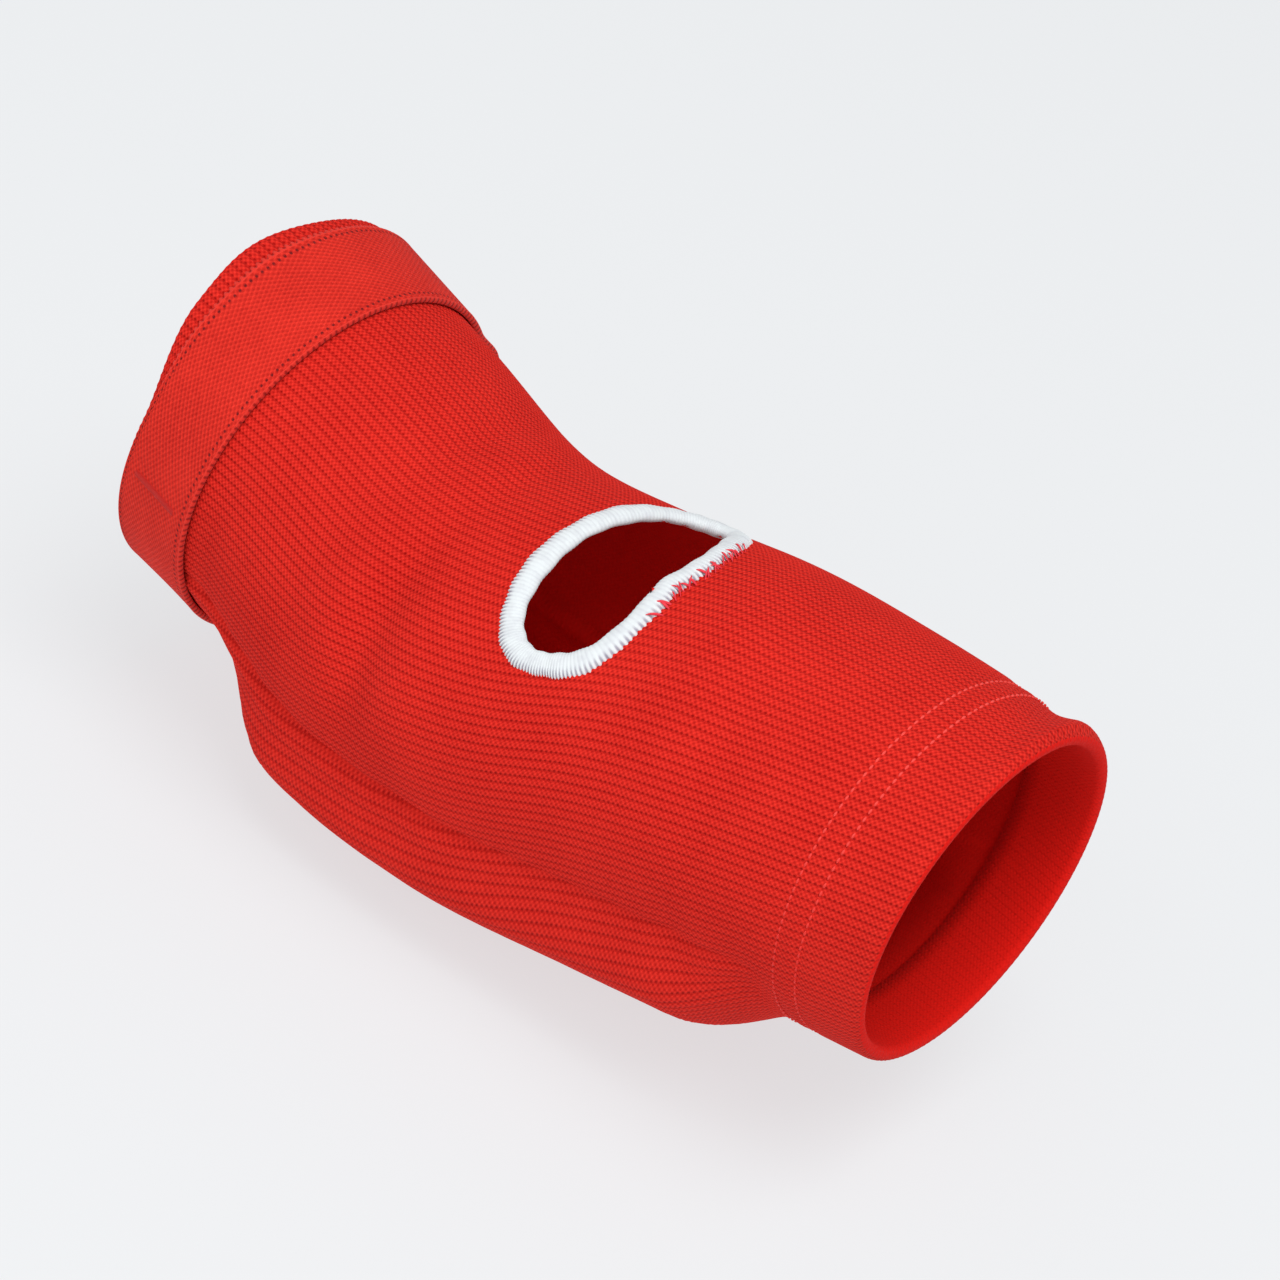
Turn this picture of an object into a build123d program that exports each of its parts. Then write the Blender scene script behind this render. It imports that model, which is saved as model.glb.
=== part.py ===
from build123d import *
import math
import os

# Knit elbow guard at its worn shape. Millimetres. The origin is the elbow's pivot on the tube's
# centre line. The forearm leg runs towards +X, the upper-arm leg towards -X, the crook opening
# faces +Z and the pad covers the elbow's point on the -Z side. Both legs rise slightly from the
# pivot. "Along" is always measured on the centre line from the pivot, positive on the forearm side.

# Path of the sleeve
ARM_BEND = 17.0            # angle between the two legs at rest, degrees
ARC_UPPER = 60.0           # length of the curved stretch on the upper-arm side
ARC_FOREARM = 40.0         # length of the curved stretch on the forearm side
UPPER_LENGTH = 122.0       # pivot to the upper-arm mouth
FOREARM_LENGTH = 108.0     # pivot to the forearm mouth
STATION_STEP = 8.0         # greatest distance between two lofted sections

# Sections of the tube
KNIT = 1.6                 # thickness of the rib knit
UPPER_BORE = 42.0          # inner radius of the turned hem at the upper-arm mouth
FOREARM_BORE = 40.0        # inner radius of the turned hem at the forearm mouth
ELBOW_HALF_WIDTH = 50.0    # outer half-width across the elbow, along Y
ELBOW_HALF_HEIGHT = 47.0   # outer half-height at the elbow, without the pad
STRAP_MARGIN = 10.0        # how far the upper-arm cuff stays round past the strap
HEM_MARGIN = 4.0           # how far the forearm cuff stays round past its hem

# Turned hems
HEM_CLEARANCE = 0.3        # between the outer knit and the hem turned inside it
UPPER_HEM = 22.0           # depth of the turning at the upper-arm mouth
FOREARM_HEM = 22.0         # depth of the turning at the forearm mouth
HEM_ROWS_APART = 5.5       # between the forearm hem's two rows of stitching
ROW_INSET = 1.5            # from the turning's edge to the nearest row
THREAD = 0.5               # how far a stitch row stands off the knit
THREAD_CLEARANCE = 0.1
ROW_WIDTH = 0.9

# Elbow pad
PAD_THICKNESS = 10.0       # how far the pad lifts the knit at its middle
PAD_UPPER_RAMP = 30.0      # length over which the swelling rises at each end
PAD_FOREARM_RAMP = 24.0
PAD_HALF_WIDTH = 37.0      # half-width of the foam slab
PAD_MARGIN = 8.0           # from the swelling's end to the slab's end
PAD_CORNER = 24.0          # radius of the slab's corners
LINING = 1.0               # thickness of the fabric that closes the pad's pocket
LINING_SEAM = 4.0          # how far the lining reaches past the slab
POCKET_CLEARANCE = 0.2
SEAM_WIDTH = 2.0           # width of the row that closes the pocket
SEAM_INSET = 1.0           # from the lining's edge to that row

# Crook opening
HOLE_ALONG = 7.0           # centre of the opening, along X
HOLE_HALF_LENGTH = 22.0    # half-size of the opening in the knit, along X
HOLE_HALF_WIDTH = 40.0     # half-size of the opening in the knit, along Y
OVERLOCK_WIDTH = 5.0       # width of the overlocked edge
OVERLOCK_PROUD = 0.9       # how far the overlocking stands off each face of the knit
OVERLOCK_CLEARANCE = 0.2

# Room to bend
FLEX_HALF_ANGLE = 32.0     # half the wedge between the two legs on the crook side, degrees
STRAIGHTEN_HALF_ANGLE = 11.0
PIVOT_GAP = 2.0            # half the gap between the legs at the pivot's height
ELBOW_GAP = 0.3            # between each leg and the elbow's own stretch of knit
REACH = 140.0              # larger than any section of the sleeve
OVERRUN = 2.0              # how far a cutting solid passes a mouth

# Strap; angles run from the far side (+Y) towards the crook (+Z), in degrees
STRAP_WIDTH = 28.0
STRAP_THICKNESS = 1.6
STRAP_FROM_MOUTH = 7.5     # from the upper-arm mouth to the strap's near edge
STRAP_CLEARANCE = 0.7      # between the knit and the strap, with the hem's stitches under it
STRAP_EDGE = 2.0           # width of each overlocked edge
STRAP_EDGE_PROUD = 0.3
STRAP_TURN = 354.0         # angle that the strap covers round the arm
STRAP_FOLD = 6.0           # angle over which the free end steps up to the tab
TAB_ROOT = 16.0            # where the tab leaves the strap
TAB_ANGLE = 62.0           # angle that the tab covers on top of the strap
TAB_TIP_ANGLE = 5.0        # angle of the bound tip
FOLD_GAP = 0.3             # angle between the tab and its neighbours
PATCH_THICKNESS = 1.1      # hook patch and loop patch, each
PATCH_MARGIN = 5.0         # from the strap's edging to a patch
PATCH_INSET_ANGLE = 2.0
HOOK_ANGLE = 34.0
LOOP_ANGLE = 46.0
LAYER_GAP = 0.2            # between two layers of the strap
TACK_WIDTH = 2.2
TACK_ANGLES = (182.0, 268.0)

UPPER_CUFF = STRAP_FROM_MOUTH + STRAP_WIDTH + STRAP_MARGIN
FOREARM_CUFF = FOREARM_HEM + HEM_MARGIN
CUFF_TOP = UPPER_CUFF - UPPER_LENGTH       # where each round cuff meets the shaped middle
CUFF_END = FOREARM_LENGTH - FOREARM_CUFF
BEND_RADIUS = (ARC_UPPER + ARC_FOREARM) / math.radians(ARM_BEND)
UPPER_RADIUS = UPPER_BORE + 2 * KNIT + HEM_CLEARANCE
FOREARM_RADIUS = FOREARM_BORE + 2 * KNIT + HEM_CLEARANCE
STRAP_INNER = UPPER_RADIUS + STRAP_CLEARANCE
STRAP_OUTER = STRAP_INNER + STRAP_THICKNESS
STRAP_ALONG = STRAP_FROM_MOUTH - UPPER_LENGTH
WEB_ALONG = STRAP_ALONG + STRAP_EDGE
WEB_WIDTH = STRAP_WIDTH - 2 * STRAP_EDGE
PATCH_ALONG = WEB_ALONG + PATCH_MARGIN
PATCH_WIDTH = WEB_WIDTH - 2 * PATCH_MARGIN
TAB_INNER = STRAP_OUTER + 2 * PATCH_THICKNESS + 3 * LAYER_GAP
TAB_OUTER = TAB_INNER + STRAP_THICKNESS


def station(along):
    """Plane across the sleeve: local x is +Y, local y points to the crook, z to the forearm mouth."""
    curved = min(max(along, -ARC_UPPER), ARC_FOREARM)
    turn = curved / BEND_RADIUS
    direction = Vector(math.cos(turn), 0, math.sin(turn))
    centre = Vector(BEND_RADIUS * math.sin(turn), 0, BEND_RADIUS * (1 - math.cos(turn)))
    return Plane(origin=centre + direction * (along - curved), x_dir=(0, 1, 0), z_dir=direction)


def ease(value):
    """Smooth step from 0 to 1."""
    value = min(max(value, 0.0), 1.0)
    return value * value * (3 - 2 * value)


def half_sizes(along):
    """Outer half-width and half-height of the tube, round at the cuffs and oval at the elbow."""
    if along < 0:
        cuff = UPPER_RADIUS
        share = ease(along / CUFF_TOP)
    else:
        cuff = FOREARM_RADIUS
        share = ease(along / CUFF_END)
    width = ELBOW_HALF_WIDTH + (cuff - ELBOW_HALF_WIDTH) * share
    height = ELBOW_HALF_HEIGHT + (cuff - ELBOW_HALF_HEIGHT) * share
    return width, height


def pad_rise(along):
    """How far the pad lifts the knit at this place; its swelling runs from cuff to cuff."""
    rising = ease((along - CUFF_TOP) / PAD_UPPER_RAMP)
    falling = ease((CUFF_END - along) / PAD_FOREARM_RAMP)
    return PAD_THICKNESS * rising * falling


def tube_section(along, inset, padded):
    """Face bounded by two half-ellipses, the lower one deeper where the pad is."""
    width, height = half_sizes(along)
    depth = height + (pad_rise(along) if padded else 0.0)
    upper = EllipticalCenterArc((0, 0), width - inset, height - inset, 0, arc_size=180)
    lower = EllipticalCenterArc((0, 0), width - inset, depth - inset, 180, arc_size=180)
    return station(along) * make_face([upper, lower])


def cuff(place, length, radius):
    """Round end of the tube, from a place along the sleeve towards the forearm."""
    return extrude(station(place) * Circle(radius), amount=length)


def skin(inset, padded=False, overrun=0.0):
    """Solid of the whole tube, its surface set in from the outer face; overrun lengthens both ends."""
    span = CUFF_END - CUFF_TOP
    count = math.ceil(span / STATION_STEP)
    places = [CUFF_TOP + span * index / count for index in range(count + 1)]
    middle = loft([tube_section(place, inset, padded) for place in places])
    upper = cuff(-UPPER_LENGTH - overrun, UPPER_CUFF + overrun, UPPER_RADIUS - inset)
    forearm = cuff(CUFF_END, FOREARM_CUFF + overrun, FOREARM_RADIUS - inset)
    return middle + upper + forearm


def layer(outer, inner, padded_outer=False, padded_inner=False):
    """Shell between two insets of the tube, open at both mouths."""
    return skin(outer, padded_outer) - skin(inner, padded_inner, OVERRUN)


def side_prism(side, gap, margin=0.0):
    """Everything on one side of the bending gap: side is -1 for the upper arm, 1 for the forearm."""
    crook = REACH * math.tan(math.radians(FLEX_HALF_ANGLE))
    elbow = REACH * math.tan(math.radians(STRAIGHTEN_HALF_ANGLE))
    near = gap - margin
    points = [
        (side * near, 0),
        (side * (near + crook), REACH),
        (side * 2 * REACH, REACH),
        (side * 2 * REACH, -REACH),
        (side * (near + elbow), -REACH),
    ]
    outline = make_face(Polyline(*points, close=True))
    return extrude(Plane.XZ * outline, amount=REACH, both=True)


def crook_prism(inset):
    """Upright oval block through the crook side."""
    outline = Pos(HOLE_ALONG, 0) * Ellipse(HOLE_HALF_LENGTH - inset, HOLE_HALF_WIDTH - inset)
    return extrude(outline, amount=REACH)


def pad_prism(growth):
    """Upright block through the elbow side, with the foam slab's outline grown all round."""
    length = CUFF_END - CUFF_TOP - 2 * PAD_MARGIN + 2 * growth
    width = 2 * (PAD_HALF_WIDTH + growth)
    outline = RectangleRounded(length, width, PAD_CORNER + growth)
    middle = (CUFF_TOP + CUFF_END) / 2
    return extrude(Pos(middle, 0) * outline, amount=-REACH)


def band(place, length, inner, outer, start=0.0, turn=360.0):
    """Part of a ring round the arm, from one place along the sleeve towards the forearm."""
    if turn >= 360.0:
        outline = Circle(outer) - Circle(inner)
    else:
        first = math.radians(start)
        last = math.radians(start + turn)
        outline = make_face(
            [
                CenterArc((0, 0), outer, start, turn),
                Line(
                    (outer * math.cos(last), outer * math.sin(last)),
                    (inner * math.cos(last), inner * math.sin(last)),
                ),
                CenterArc((0, 0), inner, start, turn),
                Line(
                    (inner * math.cos(first), inner * math.sin(first)),
                    (outer * math.cos(first), outer * math.sin(first)),
                ),
            ]
        )
    return extrude(station(place) * outline, amount=length)


def make_sleeve():
    """The rib-knit tube in three stretches: upper arm, elbow and forearm."""
    tube = layer(0.0, KNIT, True, True)
    upper = tube & side_prism(-1, PIVOT_GAP)
    forearm = tube & side_prism(1, PIVOT_GAP)
    elbow = tube - side_prism(-1, PIVOT_GAP, ELBOW_GAP) - side_prism(1, PIVOT_GAP, ELBOW_GAP)
    return upper, elbow - crook_prism(0.0), forearm


def make_crook_edge():
    """Thick overlocking that wraps the edge of the crook opening."""
    wrap = layer(-OVERLOCK_PROUD, KNIT + OVERLOCK_PROUD)
    return wrap & (crook_prism(OVERLOCK_CLEARANCE) - crook_prism(OVERLOCK_WIDTH))


def make_pad():
    """Foam slab, the lining under it and the stitches that close the pocket."""
    pocket = KNIT + POCKET_CLEARANCE
    foam = layer(pocket, KNIT, True, False) & pad_prism(0.0)
    lining_inner = pocket + LINING
    lining = layer(pocket, lining_inner) & pad_prism(LINING_SEAM)
    row_outer = lining_inner + POCKET_CLEARANCE / 2
    row_edge = LINING_SEAM - SEAM_INSET
    row = layer(row_outer, row_outer + THREAD)
    seam = row & (pad_prism(row_edge) - pad_prism(row_edge - SEAM_WIDTH))
    return foam, lining, seam


def stitch_row(place, radius):
    """One ring of thread on the outside of a cuff."""
    return band(place, ROW_WIDTH, radius + THREAD_CLEARANCE, radius + THREAD)


def make_hems():
    """Turned hems inside both mouths, and their rows of stitching outside."""
    upper = band(-UPPER_LENGTH, UPPER_HEM, UPPER_BORE, UPPER_BORE + KNIT)
    forearm_start = FOREARM_LENGTH - FOREARM_HEM
    forearm = band(forearm_start, FOREARM_HEM, FOREARM_BORE, FOREARM_BORE + KNIT)
    upper_row = stitch_row(UPPER_HEM - UPPER_LENGTH - ROW_INSET - ROW_WIDTH, UPPER_RADIUS)
    forearm_places = [forearm_start + ROW_INSET + HEM_ROWS_APART * index for index in range(2)]
    forearm_rows = [stitch_row(place, FOREARM_RADIUS) for place in forearm_places]
    return upper, upper_row, forearm, forearm_rows


def make_strap():
    """Elastic round the upper-arm cuff, its free end folded up to the tab, and its two edges."""
    web = band(WEB_ALONG, WEB_WIDTH, STRAP_INNER, STRAP_OUTER, TAB_ROOT, STRAP_TURN)
    fold = band(WEB_ALONG, WEB_WIDTH, STRAP_OUTER, TAB_OUTER, TAB_ROOT + FOLD_GAP, STRAP_FOLD)
    edge_outer = STRAP_OUTER + STRAP_EDGE_PROUD
    edge_width = STRAP_EDGE - LAYER_GAP
    places = (STRAP_ALONG, WEB_ALONG + WEB_WIDTH + LAYER_GAP)
    edges = [band(p, edge_width, STRAP_INNER, edge_outer, TAB_ROOT, STRAP_TURN) for p in places]
    return web + fold, edges


def make_tab():
    """Free end of the strap with its bound tip, hook patch and the stitches round that patch."""
    tip = TAB_ROOT - TAB_ANGLE
    after_tip = tip + TAB_TIP_ANGLE
    tab_turn = TAB_ANGLE - TAB_TIP_ANGLE - FOLD_GAP
    tab = band(WEB_ALONG, WEB_WIDTH, TAB_INNER, TAB_OUTER, after_tip, tab_turn)
    tip_outer = TAB_OUTER + STRAP_EDGE_PROUD
    binding = band(WEB_ALONG, WEB_WIDTH, TAB_INNER, tip_outer, tip, TAB_TIP_ANGLE - FOLD_GAP)
    hook_inner = TAB_INNER - LAYER_GAP - PATCH_THICKNESS
    hook_outer = hook_inner + PATCH_THICKNESS
    hook_start = after_tip + PATCH_INSET_ANGLE
    hook = band(PATCH_ALONG, PATCH_WIDTH, hook_inner, hook_outer, hook_start, HOOK_ANGLE)
    row_inner = TAB_OUTER + THREAD_CLEARANCE
    row_outer = TAB_OUTER + THREAD
    row = band(PATCH_ALONG, PATCH_WIDTH, row_inner, row_outer, hook_start, HOOK_ANGLE)
    row_turn = math.degrees(ROW_WIDTH / TAB_OUTER)
    window = band(
        PATCH_ALONG + ROW_WIDTH,
        PATCH_WIDTH - 2 * ROW_WIDTH,
        row_inner - THREAD,
        row_outer + THREAD,
        hook_start + row_turn,
        HOOK_ANGLE - 2 * row_turn,
    )
    return tab, binding, hook, row - window


def make_loop_patch():
    """Loop patch sewn to the strap's outer face under the tab."""
    inner = STRAP_OUTER + LAYER_GAP
    start = TAB_ROOT - TAB_ANGLE + PATCH_INSET_ANGLE
    return band(PATCH_ALONG, PATCH_WIDTH, inner, inner + PATCH_THICKNESS, start, LOOP_ANGLE)


def make_tacks():
    """Bar tacks that hold the strap to the knit, one bar across the strap at each angle."""
    turn = math.degrees(TACK_WIDTH / STRAP_OUTER)
    inner = STRAP_OUTER + THREAD_CLEARANCE
    outer = STRAP_OUTER + THREAD
    bars = [band(PATCH_ALONG, PATCH_WIDTH, inner, outer, angle, turn) for angle in TACK_ANGLES]
    return Compound(children=[bar.solid() for bar in bars])


def save(name, shape):
    """Writes one node as its own file."""
    export_step(shape, f"parts/{name}.step")


os.makedirs("parts", exist_ok=True)

upper_knit, elbow_knit, forearm_knit = make_sleeve()
save("sleeve_upper_arm", upper_knit)
save("sleeve_elbow", elbow_knit)
save("sleeve_forearm", forearm_knit)
save("crook_overlock_edge", make_crook_edge())

pad_foam, pad_lining, pad_seam = make_pad()
save("pad_foam", pad_foam)
save("pad_lining", pad_lining)
save("pad_lining_stitching", pad_seam)

upper_turning, upper_row, forearm_turning, forearm_rows = make_hems()
save("upper_hem_turning", upper_turning)
save("upper_hem_stitch_row", upper_row)
save("forearm_hem_turning", forearm_turning)
for number, row in enumerate(forearm_rows, 1):
    save(f"forearm_hem_stitch_row_{number}", row)

web, web_edges = make_strap()
save("strap_elastic", web)
for name, edge in zip(("strap_edge_mouth", "strap_edge_elbow"), web_edges):
    save(name, edge)
save("strap_loop_patch", make_loop_patch())
save("strap_bar_tacks", make_tacks())

tab, binding, hook_patch, tab_stitches = make_tab()
save("strap_tab", tab)
save("strap_tab_end_binding", binding)
save("strap_hook_patch", hook_patch)
save("strap_tab_stitching", tab_stitches)
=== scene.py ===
import bmesh
import bpy
import numpy as np
from mathutils import Matrix, Vector


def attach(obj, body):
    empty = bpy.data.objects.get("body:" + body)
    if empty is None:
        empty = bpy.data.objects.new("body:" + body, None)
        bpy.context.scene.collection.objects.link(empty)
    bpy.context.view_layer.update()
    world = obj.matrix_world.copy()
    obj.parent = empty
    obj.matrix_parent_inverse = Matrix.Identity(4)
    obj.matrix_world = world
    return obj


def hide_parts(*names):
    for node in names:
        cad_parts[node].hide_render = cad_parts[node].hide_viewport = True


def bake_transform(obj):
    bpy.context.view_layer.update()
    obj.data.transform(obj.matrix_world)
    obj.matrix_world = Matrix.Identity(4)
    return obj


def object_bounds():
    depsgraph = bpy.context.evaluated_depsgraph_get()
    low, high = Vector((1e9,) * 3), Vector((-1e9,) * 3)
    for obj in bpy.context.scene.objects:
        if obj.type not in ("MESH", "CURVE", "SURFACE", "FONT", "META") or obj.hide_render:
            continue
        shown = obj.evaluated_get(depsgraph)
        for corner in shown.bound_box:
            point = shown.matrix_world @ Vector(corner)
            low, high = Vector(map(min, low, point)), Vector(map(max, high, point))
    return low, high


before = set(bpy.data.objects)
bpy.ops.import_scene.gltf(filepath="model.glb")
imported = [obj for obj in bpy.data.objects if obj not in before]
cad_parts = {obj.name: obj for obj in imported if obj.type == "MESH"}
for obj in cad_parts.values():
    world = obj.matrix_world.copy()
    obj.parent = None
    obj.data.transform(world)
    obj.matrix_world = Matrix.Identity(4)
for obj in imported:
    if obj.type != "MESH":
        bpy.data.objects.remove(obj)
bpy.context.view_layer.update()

# ---------------------------------------------------------------------------------- knit sleeve
# One seamless tube of red nylon-and-elastane rib. Both mouths are folded in and sewn down, the
# tube stands out over the elbow pad, and it is cut open over the crook.
MM = 0.001
UPPER_MOUTH = -122.0
FOREARM_MOUTH = 108.0
BENT_UPPER = 60.0
BENT_FOREARM = 40.0
BEND_RADIUS = 337.0
PLACES = np.array([-122.0, -84.0, -46.0, -8.0, 30.0, 68.0, 108.0])
HALF_WIDTHS = np.array([45.0, 46.0, 48.5, 50.0, 48.5, 47.0, 44.0])
HALF_HEIGHTS = np.array([48.0, 44.5, 44.0, 46.0, 46.0, 43.5, 40.5])
DRIFT = np.array([-1.0, -1.5, -4.0, -2.0, 1.5, 3.0, 4.0])
RISE = np.array([-2.5, -3.0, -5.5, -1.5, 3.5, 5.0, 5.0])
# How far each mouth leans along the arm, at the crook and on the far side.
MOUTH_TILTS = ((UPPER_MOUTH, -1.3, -1.5), (FOREARM_MOUTH, 5.6, -3.7))
MOUTH_PEAK = 2.8
MOUTH_DROP = 5.5
CROOK = np.pi / 2
PAD_SIDE = 3 * np.pi / 2
PAD_FROM = -77.0
PAD_TO = 81.5
PAD_UPPER_RAMP = 30.0
PAD_FOREARM_RAMP = 24.0
PAD_LIFT = 10.5
PAD_HALF_ANGLE = 1.14
PAD_SIDE_SLOPE = 0.34
KNIT_THICKNESS = 1.6
FOLD_RADIUS = 1.75
HEM_DEPTH = 22.0
RIBS = 134
COLUMNS = 3 * RIBS
COURSE = 1.16
RIB_RELIEF = 0.15
# Patches to the metre: fibre fuzz of about 0.9 mm, coarser than the real yarn's so that it shows,
# and the uneven dye of worn cloth, about 22 mm on the knit and 17 mm on the webbing and lining.
FUZZ_SCALE = 1100.0
KNIT_CLOUD_SCALE = 45.0
CLOUD_SCALE = 60.0
OPENING_ALONG = 5.3
OPENING_ANGLE = CROOK + 0.24
OPENING_HALF_LENGTH = 14.7
OPENING_HALF_ANGLE = 0.64
OPENING_SLANT = 2.4


def between(sizes, along):
    """Smooth curve through sizes at PLACES: a cubic in each span, whose end slopes are those of
    the neighbouring sizes."""
    slopes = np.gradient(sizes, PLACES)
    along = np.clip(along, PLACES[0], PLACES[-1])
    span = np.clip(np.searchsorted(PLACES, along, side="right") - 1, 0, len(PLACES) - 2)
    step = PLACES[span + 1] - PLACES[span]
    t = (along - PLACES[span]) / step
    start = sizes[span] * (2 * t**3 - 3 * t**2 + 1) + step * slopes[span] * (t**3 - 2 * t**2 + t)
    return start + sizes[span + 1] * (3 * t**2 - 2 * t**3) + step * slopes[span + 1] * (t**3 - t**2)


def ease(value):
    """Smooth step from 0 to 1."""
    value = np.clip(value, 0.0, 1.0)
    return value * value * (3 - 2 * value)


def bump(value):
    """Bell of height 1 at zero, one unit wide."""
    return np.exp(-value * value)


def pad_rise(along, angle):
    """How far the pad lifts the knit: a flat-topped swelling with a steep edge all round."""
    off = np.abs(np.angle(np.exp(1j * (angle - PAD_SIDE))))
    ends = ease((along - PAD_FROM) / PAD_UPPER_RAMP) * ease((PAD_TO - along) / PAD_FOREARM_RAMP)
    return PAD_LIFT * ends * ease((PAD_HALF_ANGLE - off) / PAD_SIDE_SLOPE)


def mouth_waver(angle):
    """How far the upper mouth stands back from its cut: it peaks over the crook's near shoulder
    and drops behind the strap on the near side."""
    peak = bump((angle - np.radians(112)) / np.radians(20))
    drop = ease((angle - np.radians(135)) / 0.6) * ease((np.radians(330) - angle) / 1.5)
    return MOUTH_DROP * drop - MOUTH_PEAK * peak


def sleeve(along, angle, lift=0.0, padded=True):
    """Point on the sleeve: down the bent centre line to along, then out at angle by the oval
    section's half-axes plus lift. The mouths are cut slightly aslant."""
    along = along + mouth_waver(angle) * ease((-112 - along) / 10)
    for mouth, crook_tilt, side_tilt in MOUTH_TILTS:
        tilt = crook_tilt * np.sin(angle) + side_tilt * np.cos(angle)
        along = along + tilt * np.clip(along / mouth, 0, 1) ** 2
    bent = np.clip(along, -BENT_UPPER, BENT_FOREARM)
    turn = bent / BEND_RADIUS
    if padded:
        lift = lift + pad_rise(along, angle)
    across = (between(HALF_WIDTHS, along) + lift) * np.cos(angle) + between(DRIFT, along)
    up = (between(HALF_HEIGHTS, along) + lift) * np.sin(angle) + between(RISE, along)
    x = BEND_RADIUS * np.sin(turn) + (along - bent) * np.cos(turn) - np.sin(turn) * up
    z = BEND_RADIUS * (1 - np.cos(turn)) + (along - bent) * np.sin(turn) + np.cos(turn) * up
    return np.stack(np.broadcast_arrays(x, across, z), axis=-1)


def grid_faces(rows, columns, round_rows=False, round_columns=False):
    """Four-cornered faces of a grid of points; a round grid closes on itself."""
    row = np.arange(rows if round_rows else rows - 1)[:, None]
    column = np.arange(columns if round_columns else columns - 1)[None, :]
    below, beside = (row + 1) % rows, (column + 1) % columns
    here, under = row * columns, below * columns
    corners = (here + column, here + beside, under + beside, under + column)
    return np.stack(np.broadcast_arrays(*corners), axis=-1).reshape(-1, 4)


def make_piece(name, points, faces, corner_map=None, map_name="knit"):
    """Mesh object from points in mm and four-cornered faces, smooth, with a flat map per corner."""
    used, faces = np.unique(faces, return_inverse=True)
    points = points.reshape(-1, 3)[used] * MM
    faces = faces.reshape(-1, 4)
    mesh = bpy.data.meshes.new(name)
    mesh.vertices.add(len(points))
    mesh.vertices.foreach_set("co", points.ravel())
    mesh.loops.add(faces.size)
    mesh.loops.foreach_set("vertex_index", faces.ravel().astype(np.int32))
    mesh.polygons.add(len(faces))
    mesh.polygons.foreach_set("loop_start", np.arange(0, faces.size, 4, dtype=np.int32))
    mesh.polygons.foreach_set("use_smooth", np.ones(len(faces), bool))
    if corner_map is not None:
        flat_map = mesh.uv_layers.new(name=map_name)
        flat_map.data.foreach_set("uv", corner_map.reshape(-1).astype(np.float32))
    mesh.update(calc_edges=True)
    mesh.validate()
    piece = bpy.data.objects.new(name, mesh)
    bpy.context.scene.collection.objects.link(piece)
    return piece


def corner_values(u, v, rows, columns, round_rows=False, round_columns=False):
    """Flat map of every face corner of a grid, from the u of each column and the v of each row."""
    row = np.arange(rows if round_rows else rows - 1)[:, None]
    column = np.arange(columns if round_columns else columns - 1)[None, :]
    corners = [(row, column), (row, column + 1), (row + 1, column + 1), (row + 1, column)]
    pairs = [np.stack(np.broadcast_arrays(u[c], v[r]), axis=-1) for r, c in corners]
    return np.stack(pairs, axis=2).reshape(-1, 4, 2)


def settle(piece, **modifiers):
    """Adds the modifiers and makes their result the piece's own mesh."""
    for kind, settings in modifiers.items():
        modifier = piece.modifiers.new(kind, kind)
        for key, value in settings.items():
            setattr(modifier, key, value)
    depsgraph = bpy.context.evaluated_depsgraph_get()
    mesh = bpy.data.meshes.new_from_object(piece.evaluated_get(depsgraph))
    piece.modifiers.clear()
    piece.data = mesh
    mesh.name = piece.name
    return piece


def linear(shade):
    """Linear colour of an sRGB hex value."""
    parts = np.array([int(shade[i : i + 2], 16) / 255 for i in (0, 2, 4)])
    parts = np.where(parts <= 0.04045, parts / 12.92, ((parts + 0.055) / 1.055) ** 2.4)
    return (*parts, 1.0)


def add(tree, kind, inputs=(), **fields):
    """Adds a shader node, sets its fields, and gives each input a value or a node's output."""
    node = tree.nodes.new("ShaderNode" + kind)
    for name, value in fields.items():
        setattr(node, name, value)
    for key, value in dict(inputs).items():
        if isinstance(value, bpy.types.NodeSocket):
            tree.links.new(value, node.inputs[key])
        else:
            node.inputs[key].default_value = value
    return node.outputs


def fabric(name, sheen, sheen_tint, roughness, specular=0.25):
    """Bare cloth material: its node tree, and its shader's inputs to be linked."""
    material = bpy.data.materials.new(name)
    material.use_nodes = True
    tree = material.node_tree
    shader = tree.nodes["Principled BSDF"]
    shader.inputs["Roughness"].default_value = roughness
    shader.inputs["Specular IOR Level"].default_value = specular
    shader.inputs["Sheen Weight"].default_value = sheen
    shader.inputs["Sheen Roughness"].default_value = 0.5
    shader.inputs["Sheen Tint"].default_value = linear(sheen_tint)
    return material, tree, shader.inputs


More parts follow.
